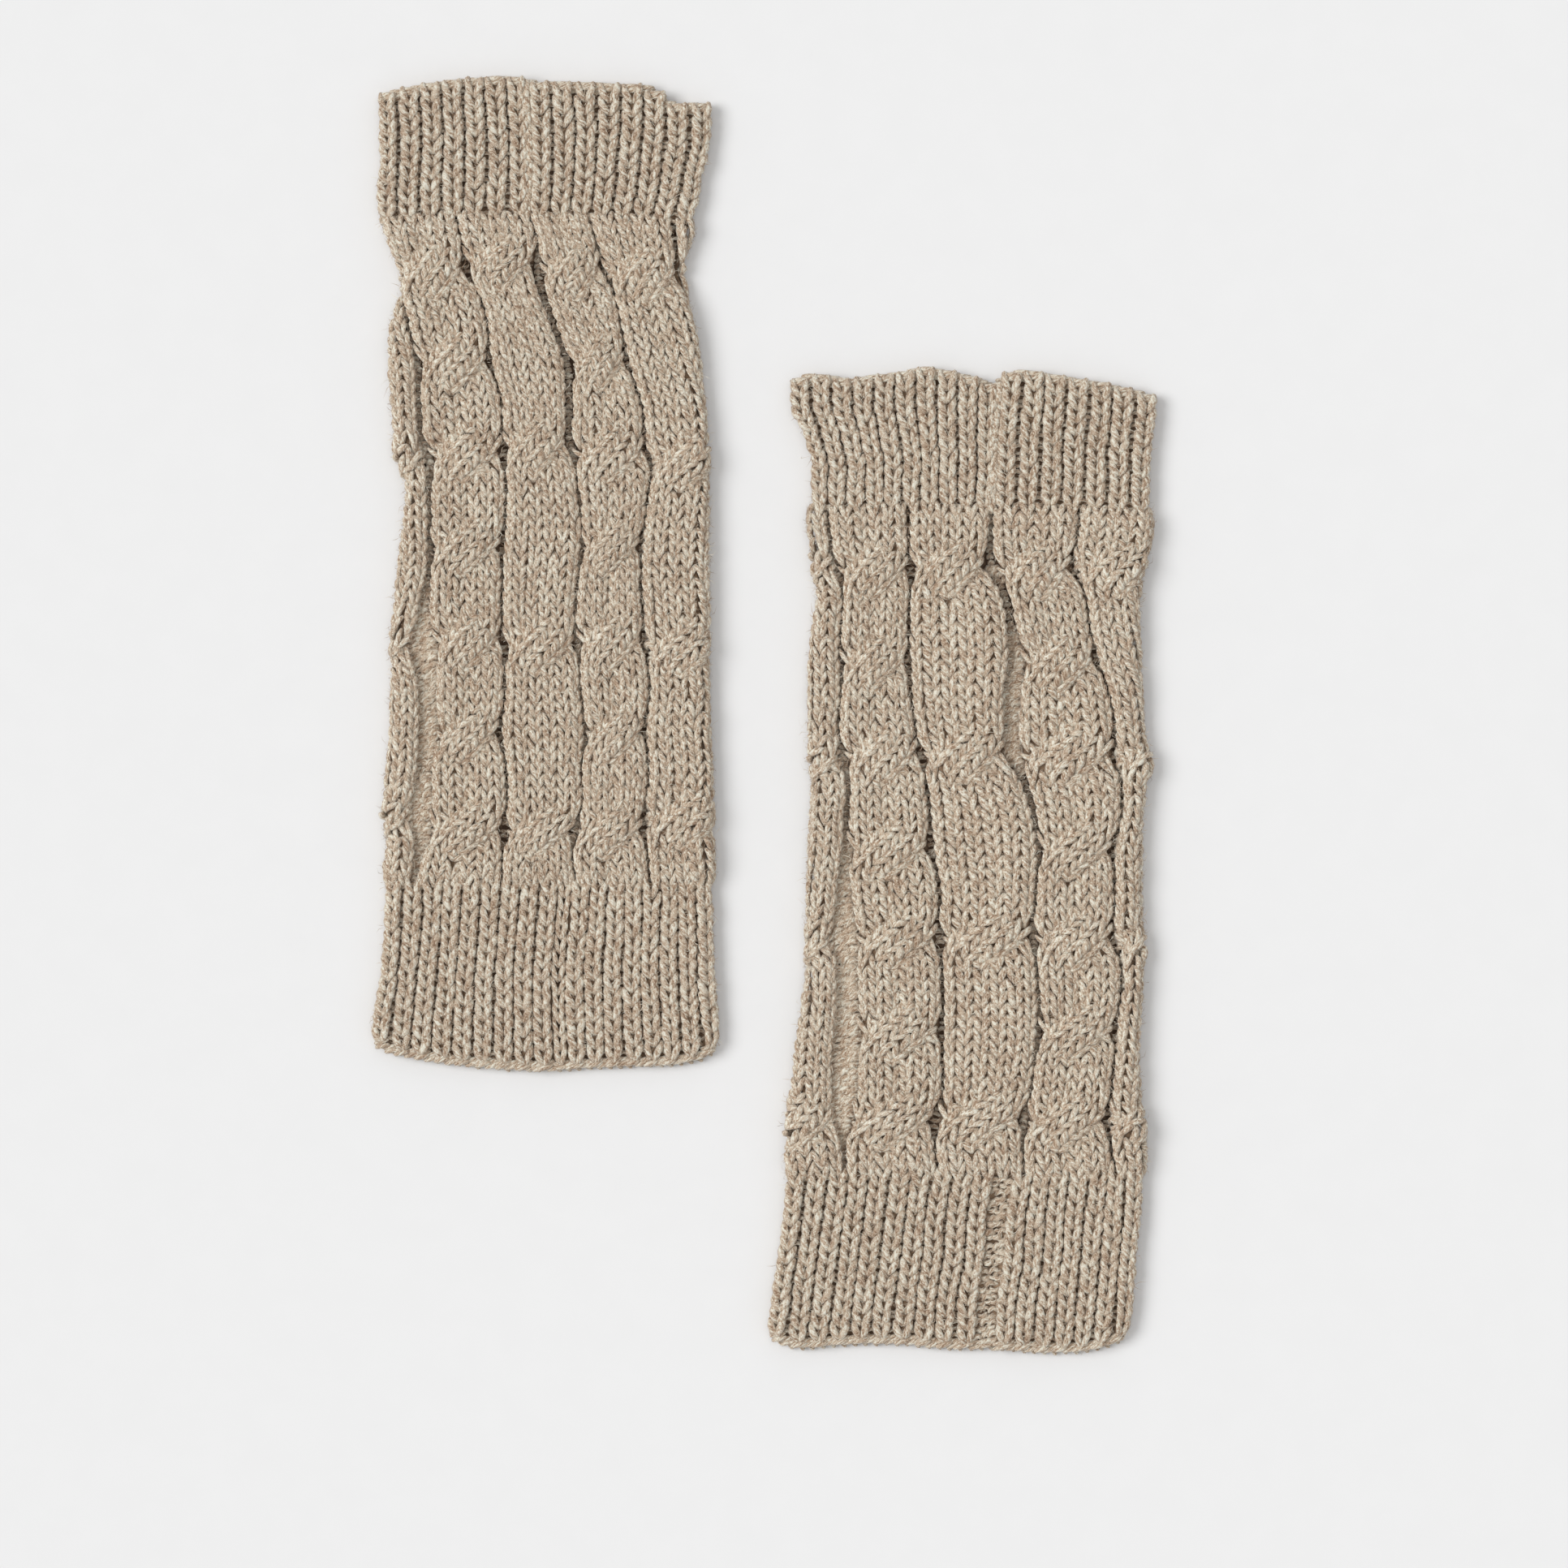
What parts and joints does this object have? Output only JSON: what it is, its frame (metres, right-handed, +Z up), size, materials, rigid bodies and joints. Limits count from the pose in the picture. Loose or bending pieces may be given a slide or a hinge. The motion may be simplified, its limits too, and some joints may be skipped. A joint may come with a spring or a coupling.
{
  "type": "pair of leg warmers",
  "caption": "Pair of cable-knit leg warmers with ribbed cuffs, laid flat side by side; each is an open tube that is pulled over the lower leg for warmth.",
  "frame": {"origin": "middle of the pair's bounding box, on the surface that the pair lies on", "axes": "+Y along the tubes towards the short upper cuffs, +X from the left leg warmer to the right one, +Z up from the surface"},
  "size_m": [0.3222, 0.5242, 0.0107],
  "materials": {
    "rib_knit": "matt, slightly fuzzy wool-mix rib",
    "cable_knit": "matt, slightly fuzzy wool-mix cable knit"
  },
  "bodies": {
    "root": {"left_upper_cuff": "rib_knit", "left_cable_body": "cable_knit", "left_lower_cuff": "rib_knit", "right_upper_cuff": "rib_knit", "right_cable_body": "cable_knit", "right_lower_cuff": "rib_knit"}
  },
  "joints": []
}
